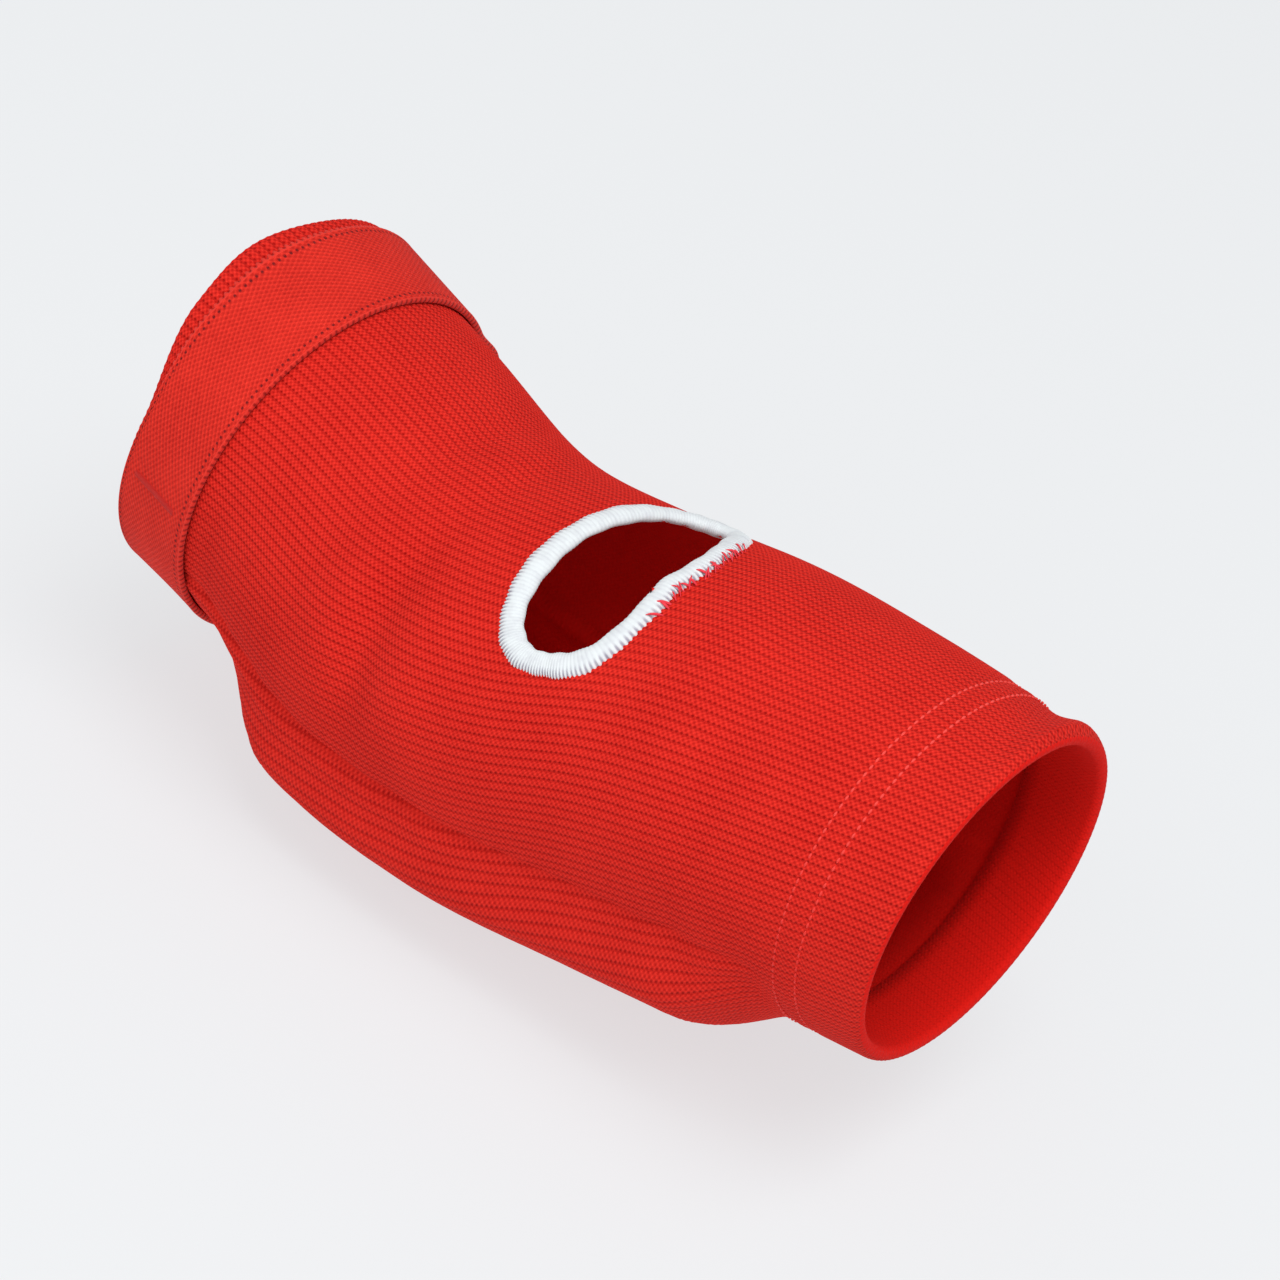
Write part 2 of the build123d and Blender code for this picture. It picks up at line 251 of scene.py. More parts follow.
def rib_knit(name, face, shadow, depth, relief):
    """Rib knit: lines of small holes lie between the ribs, every second line half a stitch
    further on, and the loops on each rib stand in a staggered grain. Painted shade darkens the
    valleys, holes and loop rims towards the shadow colour. The map counts ribs and courses, and
    depth is how strongly the pattern shades the cloth."""
    material, tree, shader = fabric(name, 0.04, "F0483A", 0.9, 0.12)
    soft = {"interpolation_type": "SMOOTHSTEP"}
    where = add(tree, "UVMap", uv_map="knit")[0]
    parts = add(tree, "SeparateXYZ", {0: where})
    rib, course = parts[0], parts[1]
    number = add(tree, "Math", {0: rib}, operation="FLOOR")[0]
    odd = add(tree, "Math", {0: number, 1: 2.0}, operation="FLOORED_MODULO")[0]
    across = add(tree, "Math", {0: rib, 1: number}, operation="SUBTRACT")[0]
    from_hole = add(tree, "Math", {0: across, 1: 0.5}, operation="SUBTRACT")[0]
    off = add(tree, "Math", {0: from_hole}, operation="ABSOLUTE")[0]
    valley = add(tree, "MapRange", {0: off, 1: 0.0, 2: 0.24, 3: 1.0, 4: 0.0}, **soft)[0]
    stagger = add(tree, "Math", {0: odd, 1: 0.5, 2: course}, operation="MULTIPLY_ADD")[0]
    wave = add(tree, "Math", {0: stagger, 1: 2 * np.pi}, operation="MULTIPLY")[0]
    stitch = add(tree, "Math", {0: wave}, operation="COSINE")[0]
    gap = add(tree, "MapRange", {0: stitch, 1: -0.3, 2: 0.9, 3: 0.0, 4: 1.0}, **soft)[0]
    hole = add(tree, "Math", {0: gap, 1: valley}, operation="MULTIPLY")[0]
    across_wave = add(tree, "Math", {0: rib, 1: 3 * np.pi}, operation="MULTIPLY")[0]
    across_loop = add(tree, "Math", {0: across_wave}, operation="COSINE")[0]
    down_wave = add(tree, "Math", {0: course, 1: 2 * np.pi}, operation="MULTIPLY")[0]
    down_loop = add(tree, "Math", {0: down_wave}, operation="COSINE")[0]
    loop = add(tree, "Math", {0: across_loop, 1: down_loop}, operation="MULTIPLY")[0]
    raised = add(tree, "Math", {0: valley, 1: -0.6, 2: 0.6}, operation="MULTIPLY_ADD")[0]
    lifted = add(tree, "Math", {0: loop, 1: 0.3, 2: raised}, operation="MULTIPLY_ADD")[0]
    height = add(tree, "Math", {0: hole, 1: -0.6, 2: lifted}, operation="MULTIPLY_ADD")[0]
    place = add(tree, "TexCoord")[3]
    cloud = add(tree, "TexNoise", {"Vector": place, "Scale": KNIT_CLOUD_SCALE, "Detail": 3.0})[0]
    fuzz = add(tree, "TexNoise", {"Vector": place, "Scale": FUZZ_SCALE, "Detail": 2.0})[0]
    # Painted shade: the valleys, holes and loop rims mix towards the shadow colour.
    dark = add(tree, "Math", {0: valley, 1: 0.15 * depth, 2: 0.06}, operation="MULTIPLY_ADD")[0]
    dark = add(tree, "Math", {0: hole, 1: 0.24 * depth, 2: dark}, operation="MULTIPLY_ADD")[0]
    grain = add(tree, "Math", {0: loop, 1: -0.38 * depth, 2: dark}, operation="MULTIPLY_ADD")[0]
    mixed = add(tree, "Math", {0: fuzz, 1: 0.4 * depth, 2: grain}, operation="MULTIPLY_ADD")[0]
    share = {0: cloud, 1: 0.3 * depth, 2: mixed}
    share = add(tree, "Math", share, operation="MULTIPLY_ADD", use_clamp=True)[0]
    colour = add(tree, "Mix", {0: share, 6: linear(face), 7: linear(shadow)}, data_type="RGBA")[2]
    normal = add(tree, "Bump", {"Strength": 1.0, "Distance": relief * MM, "Height": height})[0]
    tree.links.new(colour, shader["Base Color"])
    tree.links.new(normal, shader["Normal"])
    return material


# Nylon yarn dyed red: a matt cloth face with a soft bloom at grazing angles, with painted shade
# between the ribs.
KNIT_FACE = rib_knit("RibKnitNylonFace", "E63024", "A00504", 1.0, 0.26)
# The same yarn inside the tube, in painted shade: a darker red with a fainter pattern.
KNIT_BACK_PAINTED_SHADE = rib_knit("RibKnitNylonBackPaintedShade", "DC180F", "BE0F08", 0.45, 0.12)

FOREARM_ROWS = (FOREARM_MOUTH - 21.5, FOREARM_MOUTH - 16.0)
# Each fold: its depth, where it is along the arm and how long, its angle in degrees and how wide.
FOLDS = (
    (-2.3, -33, 5.5, 156, 32),
    (1.1, -46, 7.5, 150, 28),
    (0.7, -18, 8.0, 168, 24),
    (-1.1, -55, 5.0, 86, 24),
    (0.7, -45, 5.5, 88, 22),
    (-0.8, -36, 4.5, 92, 20),
    (-1.6, 79, 5.0, 213, 18),
    (-0.8, 60, 4.0, 206, 16),
    (-0.9, 97, 4.0, 60, 50),
    (1.1, 105, 3.0, 62, 55),
    (0.8, 44, 9.0, 120, 30),
    (-0.7, 60, 7.0, 150, 28),
    (-0.9, -14, 7.0, 205, 15),
    (-0.8, -84, 5.0, 190, 24),
)

curl = np.linspace(-np.pi / 2, np.pi / 2, 7)
turned = np.linspace(HEM_DEPTH, FOLD_RADIUS, 5)[:-1]
# Each stretch of the outside: where it ends and its count of rows, closest at the hem's stitches.
HEM_EDGE = FOREARM_MOUTH - HEM_DEPTH
STRETCHES = ((-78, 14), (-20, 23), (34, 26), (HEM_EDGE, 17), (FOREARM_MOUTH - FOLD_RADIUS, 14))
stretch_from = UPPER_MOUTH + FOLD_RADIUS
outside = []
for stretch_to, count in STRETCHES:
    outside.append(np.linspace(stretch_from, stretch_to, count)[1:])
    stretch_from = stretch_to
outside = np.concatenate(outside)[:-1]
row_along = np.concatenate(
    [
        UPPER_MOUTH + turned,
        UPPER_MOUTH + FOLD_RADIUS - FOLD_RADIUS * np.cos(curl),
        outside,
        FOREARM_MOUTH - FOLD_RADIUS + FOLD_RADIUS * np.cos(curl),
        FOREARM_MOUTH - turned[::-1],
    ]
)
curl_lift = FOLD_RADIUS * (np.sin(curl) - 1)
turned_lift = np.full(len(turned), -2 * FOLD_RADIUS)
row_lift = np.concatenate([turned_lift, curl_lift, 0 * outside, curl_lift[::-1], turned_lift])
row_path = np.concatenate([[0], np.cumsum(np.hypot(np.diff(row_along), np.diff(row_lift)))])
rows = len(row_along)


def sleeve_detail(along, angle):
    """Small shapes of the knit, each a bell or the product of two: the pull of the hem rows and of
    the pad's seam, the rolled mouth, and the soft folds of a sleeve that has lain bent."""
    hem = sum(-0.35 * bump((along - at) / 1.2) for at in FOREARM_ROWS)
    off = np.abs(np.angle(np.exp(1j * (angle - PAD_SIDE))))
    over_pad = ease((along + 95) / 12) * ease((PAD_TO + 4 - along) / 14)
    seam = -1.7 * bump((off - PAD_HALF_ANGLE) / 0.03) * over_pad
    ridge = 1.0 * bump((off - PAD_HALF_ANGLE + 0.085) / 0.05) * over_pad
    shape = hem + (seam + ridge) * (1 - 0.55 * ease((along + 15) / 45))
    for depth, at, long, way, wide in FOLDS:
        turned_off = np.angle(np.exp(1j * (angle - np.radians(way))))
        slanted = along - at - 6.0 * turned_off
        shape = shape + depth * bump(slanted / long) * bump(turned_off / np.radians(wide))
    return shape


column = np.arange(COLUMNS)
# The ribs wind slowly round the arm, more where the sleeve has turned over the elbow.
rib_turn = -0.0035 * row_along - 0.034 * np.tanh((row_along - 18) / 14)
rib_turn = rib_turn + 0.03 * np.tanh((row_along + 25) / 12)
grid_along = np.repeat(row_along[:, None], COLUMNS, axis=1)
grid_angle = column[None, :] * 2 * np.pi / COLUMNS + rib_turn[:, None]
in_hem = ease((row_along - (HEM_EDGE - 3)) / 4)
relief = RIB_RELIEF * (1 - 0.6 * in_hem)[:, None] * np.cos(column * 2 * np.pi / 3)[None, :]


def opening_swell(turn):
    """Cut edge of the opening over a plain oval's: fuller by the near tip, notched beside it."""
    swell = 0.17 * bump((turn - 0.72) / 0.42) - 0.07 * bump((turn - 0.12) / 0.16)
    return 1 + swell + 0.05 * bump((turn + 1.2) / 0.4)


def opening_point(turn):
    """Along and angle of the cut edge at turn, which starts towards the forearm."""
    angle = OPENING_ANGLE + OPENING_HALF_ANGLE * opening_swell(turn) * np.sin(turn)
    slant = OPENING_SLANT * (angle - OPENING_ANGLE)
    return OPENING_ALONG + slant + OPENING_HALF_LENGTH * opening_swell(turn) * np.cos(turn), angle


def opening_reach(along, angle):
    """Shares of the way from the opening's middle, down the arm and round it, and their length:
    1 on the cut edge, less inside it and more outside."""
    down = (along - OPENING_ALONG - OPENING_SLANT * (angle - OPENING_ANGLE)) / OPENING_HALF_LENGTH
    round_ = (angle - OPENING_ANGLE) / OPENING_HALF_ANGLE
    return down, round_, np.hypot(down, round_) / opening_swell(np.arctan2(round_, down))


faces = grid_faces(rows, COLUMNS, round_columns=True)
cell_along = grid_along.ravel()[faces].mean(axis=1)
cell_angle = grid_angle.ravel()[faces].mean(axis=1)
outer_cells = np.repeat((row_lift[:-1] == 0)[:, None], COLUMNS, axis=1).ravel()
kept = (opening_reach(cell_along, cell_angle)[2] > 1) | ~outer_cells
touched = np.zeros(grid_along.size, bool)
touched[faces[~kept].ravel()] = True
edge = np.zeros(grid_along.size, bool)
edge[faces[kept].ravel()] = True
edge &= touched
down, round_, reach = opening_reach(grid_along.ravel()[edge], grid_angle.ravel()[edge])
# Points beside the cut are drawn onto the opening's edge, along their line from its middle.
flat_along, flat_angle = grid_along.ravel().copy(), grid_angle.ravel().copy()
flat_angle[edge] = OPENING_ANGLE + OPENING_HALF_ANGLE * round_ / reach
slant = OPENING_SLANT * (flat_angle[edge] - OPENING_ANGLE)
flat_along[edge] = OPENING_ALONG + slant + OPENING_HALF_LENGTH * down / reach
grid_along, grid_angle = flat_along.reshape(grid_along.shape), flat_angle.reshape(grid_along.shape)
detail = sleeve_detail(grid_along, grid_angle) * (row_lift == 0)[:, None]
points = sleeve(grid_along, grid_angle, row_lift[:, None] + relief + detail)
rib_count = np.arange(COLUMNS + 1) / 3.0
knit_map = corner_values(rib_count, row_path / COURSE, rows, COLUMNS, round_columns=True)
knit_sleeve = make_piece("rib_knit_sleeve", points, faces[kept], knit_map[kept])
knit_sleeve.data.materials.append(KNIT_FACE)
knit_sleeve.data.materials.append(KNIT_BACK_PAINTED_SHADE)
# The inner face of the cloth shows from half way through the mouth's curl.
turned_rows = (row_lift[:-1] < -0.45 * FOLD_RADIUS)[:, None]
turned_cells = np.repeat(turned_rows, COLUMNS, axis=1).ravel()[kept]
knit_sleeve.data.polygons.foreach_set("material_index", turned_cells.astype(np.int32))
# The inner wall takes the inside material, whose darker red is painted shade.
wall = {"thickness": KNIT_THICKNESS * MM, "offset": -1.0, "material_offset": 1, "use_rim": True}
settle(knit_sleeve, SOLIDIFY=wall)
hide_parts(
    "sleeve_upper_arm",
    "sleeve_elbow",
    "sleeve_forearm",
    "upper_hem_turning",
    "forearm_hem_turning",
)
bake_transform(knit_sleeve)

# ------------------------------------------------------------------------------- crook opening edge
# The cut edge of the opening is overlocked with thick white polyester thread, WRAPS turns side by
# side, whose outer loops make a small scallop on the knit. Cut ends of red yarn fray out past it.
WRAPS = 168
WRAP_STEPS = 6
RING_STEPS = 18
RING_HALF_WIDTH = 3.0
RING_HALF_HEIGHT = 1.7
RING_RISE = -0.5
RING_OUT = 2.0
# Patches to the metre, for fluff on the wraps of about 2.4 mm.
FLUFF_SCALE = 420.0


def surface_normal(along, angle):
    """Outward normal of the sleeve: the cross product of the steps round it and down it."""
    down = sleeve(along + 0.05, angle) - sleeve(along - 0.05, angle)
    round_ = sleeve(along, angle + 0.001) - sleeve(along, angle - 0.001)
    normal = np.cross(round_, down)
    return normal / np.linalg.norm(normal, axis=-1, keepdims=True)


def ring(turn, out, lift):
    """Point by the opening's edge: on the cut edge at turn, out across the knit, then lifted."""
    turn = np.angle(np.exp(1j * turn))
    here, ahead = sleeve(*opening_point(turn)), sleeve(*opening_point(turn + 0.001))
    normal = surface_normal(*opening_point(turn))
    outward = np.cross(normal, ahead - here)
    outward = outward / np.linalg.norm(outward, axis=-1, keepdims=True)
    return here + outward * out[..., None] + normal * lift[..., None]


steps = WRAPS * WRAP_STEPS
turn = (np.arange(steps) * 2 * np.pi / steps)[:, None]
round_ring = (np.arange(RING_STEPS) * 2 * np.pi / RING_STEPS)[None, :]
wrap = 0.5 + 0.5 * np.cos(np.arange(steps) * 2 * np.pi / WRAP_STEPS)[:, None]
outer_side = ease(np.cos(round_ring))
uneven = 0.05 * np.sin(turn * 7 + 1.0) + 0.04 * np.sin(turn * 23)
swell = 1 + uneven - 0.03 * (1 - wrap) - 0.11 * (1 - wrap) * outer_side
out = RING_OUT + RING_HALF_WIDTH * swell * np.cos(round_ring)
lift = RING_RISE + RING_HALF_HEIGHT * swell * np.sin(round_ring)
points = ring(turn + 0 * round_ring, out, lift)
faces = grid_faces(steps, RING_STEPS, True, True)
side_share = np.arange(RING_STEPS + 1) / RING_STEPS
wrap_count = np.arange(steps + 1) / WRAP_STEPS
ring_map = corner_values(side_share, wrap_count, steps, RING_STEPS, True, True)
crook_edge = make_piece("crook_overlock_edge_thread", points, faces, ring_map, "wrap")


def thread(name, face, shadow, inner_depth):
    """Thread wrapped over an edge: painted shade darkens the gaps between the wraps on the outer
    side, and inner_depth is how far it shows on the rest, where the thread lies close and felts
    together."""
    material, tree, shader = fabric(name, 0.05, "FFFFFF", 0.75, 0.15)
    where = add(tree, "UVMap", uv_map="wrap")[0]
    parts = add(tree, "SeparateXYZ", {0: where})
    side = add(tree, "Math", {0: parts[0], 1: 2 * np.pi}, operation="MULTIPLY")[0]
    side = add(tree, "Math", {0: side}, operation="COSINE")[0]
    out_side = {0: side, 1: 0.2, 2: 0.85, 3: inner_depth, 4: 1.0}
    out_side = add(tree, "MapRange", out_side, interpolation_type="SMOOTHSTEP")[0]
    wave = add(tree, "Math", {0: parts[1], 1: 2 * np.pi}, operation="MULTIPLY")[0]
    lie = add(tree, "Math", {0: wave}, operation="COSINE")[0]
    groove = add(tree, "MapRange", {0: lie, 1: 0.2, 2: -1.0, 3: 0.0, 4: 1.0})[0]
    groove = add(tree, "Math", {0: groove, 1: out_side}, operation="MULTIPLY")[0]
    place = add(tree, "TexCoord")[3]
    cloud = add(tree, "TexNoise", {"Vector": place, "Scale": FLUFF_SCALE, "Detail": 3.0})[0]
    # Painted shade: the gaps between the wraps mix towards the blue-grey shadow colour.
    share = add(tree, "Math", {0: groove, 1: 0.75, 2: -0.22}, operation="MULTIPLY_ADD")[0]
    share = {0: cloud, 1: 0.5, 2: share}
    share = add(tree, "Math", share, operation="MULTIPLY_ADD", use_clamp=True)[0]
    colour = add(tree, "Mix", {0: share, 6: linear(face), 7: linear(shadow)}, data_type="RGBA")[2]
    height = add(tree, "Math", {0: groove, 1: -0.8, 2: cloud}, operation="MULTIPLY_ADD")[0]
    normal = add(tree, "Bump", {"Strength": 0.7, "Distance": 0.2 * MM, "Height": height})[0]
    tree.links.new(colour, shader["Base Color"])
    tree.links.new(normal, shader["Normal"])
    return material


# Bright white textured polyester overlock thread, with faint blue-grey painted shade between
# the wraps.
crook_edge.data.materials.append(thread("WhiteOverlockPolyester", "DADFE1", "81778F", 0.12))
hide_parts("crook_overlock_edge")
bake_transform(crook_edge)

FRAYS = 26
FRAY_STEPS = 8
FRAY_SIDES = 6
FRAY_THICKNESS = 0.26
FRAY_START = RING_OUT + RING_HALF_WIDTH + 0.9
OPENING_RADIUS = 26.0
rng = np.random.default_rng(11)
fray_turn = np.linspace(-0.62, 0.34, FRAYS)[:, None, None] + rng.uniform(-0.02, 0.02, (FRAYS, 1, 1))
fray_length = rng.uniform(1.4, 3.4, (FRAYS, 1, 1))
fray_lean = rng.uniform(-0.09, 0.09, (FRAYS, 1, 1))
fray_reach = np.linspace(0, 1, FRAY_STEPS)[None, :, None]
fray_side = (np.arange(FRAY_SIDES) * 2 * np.pi / FRAY_SIDES)[None, None, :]
fray_size = FRAY_THICKNESS * np.maximum(np.sin(np.pi * (0.12 + 0.8 * fray_reach)), 0.2)
points = ring(
    fray_turn + fray_lean * fray_reach + fray_size * np.cos(fray_side) / OPENING_RADIUS,
    FRAY_START - fray_length * fray_reach,
    -0.2 + 1.3 * np.sin(fray_reach * 2.0) + fray_size * np.sin(fray_side),
)
first_point = (np.arange(FRAYS) * FRAY_STEPS * FRAY_SIDES)[:, None, None]
fray_faces = first_point + grid_faces(FRAY_STEPS, FRAY_SIDES, round_columns=True)[None]
crook_frays = make_piece("crook_frayed_threads", points, fray_faces.reshape(-1, 4))


# Patches to the metre, for the thread's twist of about 1.4 mm, coarser than it is so that it shows.
TWIST_SCALE = 700.0


def stitch_thread(name, top, low):
    """Polyester sewing thread with painted light: paler higher up, towards the crook, where light
    from above falls on it.
    """
    material, tree, shader = fabric(name, 0.15, "F08078", 0.6)
    place = add(tree, "TexCoord")[3]
    # Painted light: the thread's colour grows paler with height, as if lit from above.
    up = add(tree, "SeparateXYZ", {0: place})[2]
    share = add(tree, "MapRange", {0: up, 1: 0.005, 2: 0.055, 3: 0.0, 4: 1.0})[0]
    twist = add(tree, "TexNoise", {"Vector": place, "Scale": TWIST_SCALE, "Detail": 2.0})[0]
    colour = add(tree, "Mix", {0: share, 6: linear(low), 7: linear(top)}, data_type="RGBA")[2]
    normal = add(tree, "Bump", {"Strength": 0.6, "Distance": 0.1 * MM, "Height": twist})[0]
    tree.links.new(colour, shader["Base Color"])
    tree.links.new(normal, shader["Normal"])
    return material


# Red polyester thread; painted highlight makes it pinker higher up, where it catches the light.
HEM_THREAD = stitch_thread("RedPolyesterThread", "E8473F", "DA2820")
crook_frays.data.materials.append(stitch_thread("RedYarnEnds", "E23A48", "D8262C"))
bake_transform(crook_frays)

# ----------------------------------------------------------------------------------------- elbow pad
# A slab of soft foam lies between the knit and a fabric lining that is sewn to the knit all round
# it. Only the lining shows, through the mouths and the opening.
PAD_RINGS = 24
PAD_SPOKES = 120
PAD_END_INSET = 10.0
PAD_SIDE_INSET = 0.22
PAD_RADIUS = 47.0


def pad_patch(share, spoke, grow):
    """Along and angle of a point of the pad's outline, share of the way from its middle to its
    rounded edge: a superellipse of power 3."""
    corner = np.abs(np.cos(spoke)) ** 3 + np.abs(np.sin(spoke)) ** 3
    radius = share / corner ** (1 / 3)
    half_length = (PAD_TO - PAD_FROM) / 2 - PAD_END_INSET + grow
    half_angle = PAD_HALF_ANGLE - PAD_SIDE_INSET + grow / PAD_RADIUS
    along = (PAD_TO + PAD_FROM) / 2 + half_length * radius * np.cos(spoke)
    return along, PAD_SIDE + half_angle * radius * np.sin(spoke)


spoke = (np.arange(PAD_SPOKES) * 2 * np.pi / PAD_SPOKES)[None, :]
share = np.sin(np.linspace(0.04, np.pi / 2, PAD_RINGS))[:, None]
top_along, top_angle = pad_patch(share, spoke, -2.0)
room = pad_rise(top_along, top_angle)
dome = np.sqrt(np.clip(1 - share**6, 0, 1))
middle = room / 2 - KNIT_THICKNESS - 0.3
half = np.maximum(room / 2 - 0.4, 0.2) * dome
outer = sleeve(top_along, top_angle, middle + half, padded=False)
inner = sleeve(top_along, top_angle, middle - half, padded=False)
points = np.concatenate([outer, inner[::-1][1:]])
faces = grid_faces(len(points), PAD_SPOKES, round_columns=True)
pad_foam = make_piece("pad_foam_slab", points, faces)


def close_poles(piece):
    """Fills the small open rings at a piece's poles and turns its faces outward."""
    mesh = bmesh.new()
    mesh.from_mesh(piece.data)
    bmesh.ops.holes_fill(mesh, edges=mesh.edges, sides=0)
    bmesh.ops.recalc_face_normals(mesh, faces=mesh.faces)
    mesh.to_mesh(piece.data)
    mesh.free()
    for polygon in piece.data.polygons:
        polygon.use_smooth = True


close_poles(pad_foam)


def plain_cloth(name, face, shadow, grain, relief):
    """Close cloth or foam with a fine even grain."""
    material, tree, shader = fabric(name, 0.1, face, 0.9)
    place = add(tree, "TexCoord")[3]
    cell = add(tree, "TexVoronoi", {"Vector": place, "Scale": 1 / (grain * MM)})[0]
    cloud = add(tree, "TexNoise", {"Vector": place, "Scale": CLOUD_SCALE})[0]
    share = add(tree, "Math", {0: cell, 1: cloud}, operation="MULTIPLY", use_clamp=True)[0]
    colour = add(tree, "Mix", {0: share, 6: linear(face), 7: linear(shadow)}, data_type="RGBA")[2]
    normal = add(tree, "Bump", {"Strength": 0.7, "Distance": relief * MM, "Height": cell})[0]
    tree.links.new(colour, shader["Base Color"])
    tree.links.new(normal, shader["Normal"])
    return material


# Polyurethane foam, closed-cell and charcoal, with fine pores.
pad_foam.data.materials.append(plain_cloth("PolyurethaneFoam", "3A3A3E", "202024", 0.9, 0.3))
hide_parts("pad_foam")
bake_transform(pad_foam)

LINING_ROWS = 49
LINING_COLUMNS = 65
weft = np.linspace(-1, 1, LINING_ROWS)[:, None]
warp = np.linspace(-1, 1, LINING_COLUMNS)[None, :]
lining_share = np.maximum(abs(weft), abs(warp))
lining_along, lining_angle = pad_patch(lining_share, np.arctan2(weft, warp), 4.0)
# The lining lies flat to the arm under the foam and comes out to the knit at its sewn border.
border = pad_rise(lining_along, lining_angle) * ease((lining_share - 0.90) / 0.08)
points = sleeve(lining_along, lining_angle, border - KNIT_THICKNESS - 0.5, padded=False)
pad_lining = make_piece("pad_lining_cloth", points, grid_faces(LINING_ROWS, LINING_COLUMNS))
settle(pad_lining, SOLIDIFY={"thickness": 0.9 * MM, "offset": 0.0, "use_rim": True})
# Warp-knit polyester lining, red, smooth to the arm.
pad_lining.data.materials.append(plain_cloth("WarpKnitLining", "E41C12", "C4120A", 0.7, 0.1))
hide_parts("pad_lining")
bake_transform(pad_lining)

# ------------------------------------------------------------------------------------ rows of thread
# Each row of stitching is a line of short thread floats. The hem rows run round the cuffs, the
# lining's row runs round the pad pocket inside.
FLOAT_STEPS = 7
FLOAT_SIDES = 6
ARM_RADIUS = 45.0


def floats(name, ends, thick, stands, padded=True, sunk=0.0):
    """A line of thread floats: each is a spindle lying between its two ends, which are given as
    (along, angle) pairs, thick wide, stands high, with its middle sunk above the sleeve."""
    start, stop = ends
    reach = np.linspace(0, 1, FLOAT_STEPS)[None, :, None]
    side = (np.arange(FLOAT_SIDES) * 2 * np.pi / FLOAT_SIDES)[None, None, :]
    size = np.maximum(np.sin(reach * np.pi), 0.12) ** 0.5
    along = start[0][:, None, None] * (1 - reach) + stop[0][:, None, None] * reach
    angle = start[1][:, None, None] * (1 - reach) + stop[1][:, None, None] * reach
    spread = thick / 2 * size * np.cos(side)
    rise = stands / 2 * size * np.sin(side) + sunk
    run_along = (stop[0] - start[0])[:, None, None]
    run_round = (stop[1] - start[1])[:, None, None] * ARM_RADIUS
    length = np.hypot(run_along, run_round)
    along = along + spread * run_round / length
    angle = angle - spread * run_along / length / ARM_RADIUS
    points = sleeve(along, angle, rise, padded)
    first_point = (np.arange(len(start[0])) * FLOAT_STEPS * FLOAT_SIDES)[:, None, None]
    faces = first_point + grid_faces(FLOAT_STEPS, FLOAT_SIDES, round_columns=True)[None]
    piece = make_piece(name, points, faces.reshape(-1, 4))
    close_poles(piece)
    return piece


def hem_row(name, along, count, fill, sunk=0.25):
    """Floats end to end round a cuff; fill is each float's share of its stitch."""
    first = np.arange(count) * 2 * np.pi / count
    last = first + fill * 2 * np.pi / count
    flat = np.full(count, along)
    return floats(name, ((flat, first), (flat, last)), 0.6, 0.7, sunk=sunk)


for number, along in enumerate(FOREARM_ROWS, 1):
    row = hem_row(f"forearm_hem_stitches_{number}", along, 132, 0.66, sunk=-0.3)
    row.data.materials.append(HEM_THREAD)
    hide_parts(f"forearm_hem_stitch_row_{number}")
    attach(row, "forearm")
upper_row = hem_row("upper_hem_stitches", UPPER_MOUTH + HEM_DEPTH - 2, 90, 0.74)
upper_row.data.materials.append(HEM_THREAD)
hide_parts("upper_hem_stitch_row")
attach(upper_row, "upper_arm")

POCKET_STITCHES = 110
around = np.arange(POCKET_STITCHES + 1) * 2 * np.pi / POCKET_STITCHES
seam_along, seam_angle = pad_patch(1.0, around, 2.0)
start = (seam_along[:-1], seam_angle[:-1])
stop = tuple(side[:-1] * 0.28 + side[1:] * 0.72 for side in (seam_along, seam_angle))
pocket_row = floats("pad_lining_stitches", (start, stop), 0.6, 0.6, True, -KNIT_THICKNESS - 1.1)
pocket_row.data.materials.append(HEM_THREAD)
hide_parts("pad_lining_stitching")
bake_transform(pocket_row)

# --------------------------------------------------------------------------------------- arm strap
# A woven elastic strap is tacked to the sleeve just below the upper mouth. Its free end lies over
# it on the far side and is held by hook-and-loop patches.
STRAP_FROM = -115.1
STRAP_WIDTH = 24.3
STRAP_SLANT = (-1.4, 0.5)
STRAP_NARROWING = 0.07
STRAP_LIFT = 0.5
STRAP_THICKNESS = 1.6
PATCH_THICKNESS = 1.0
LAYER_GAP = 0.1
TAB_LIFT = STRAP_LIFT + STRAP_THICKNESS + 2 * PATCH_THICKNESS + 3 * LAYER_GAP
TAB_ROOT = np.radians(16.0)
TAB_TIP = np.radians(-46.0)
TIP_TURN = np.radians(5.0)
ROOT_GAP = np.radians(0.3)
STRAP_TURN = np.radians(354.0)
CORD_PITCH = 1.25
FLOAT_PITCH = 2.0
NEEDLE_INSET = 1.5
NEEDLE_PITCH = 1.7
NEEDLE_SHADE = "4A1018"


def step_up(angle):
    """How far the strap climbs, over its last part, to lie on its own far end."""
    return (TAB_LIFT - STRAP_LIFT) * ease((np.radians(36) - angle) / np.radians(18))


def strap_point(across, angle, lift):
    """Point of the strap, across millimetres from its edge by the mouth. It lies a little aslant
    and is drawn narrower over the crook."""
    slant = STRAP_SLANT[0] * np.sin(angle) + STRAP_SLANT[1] * np.cos(angle)
    along = STRAP_FROM + slant + across * (1 - STRAP_NARROWING * np.sin(angle))
    return sleeve(along, angle, lift + 0 * along, padded=False)


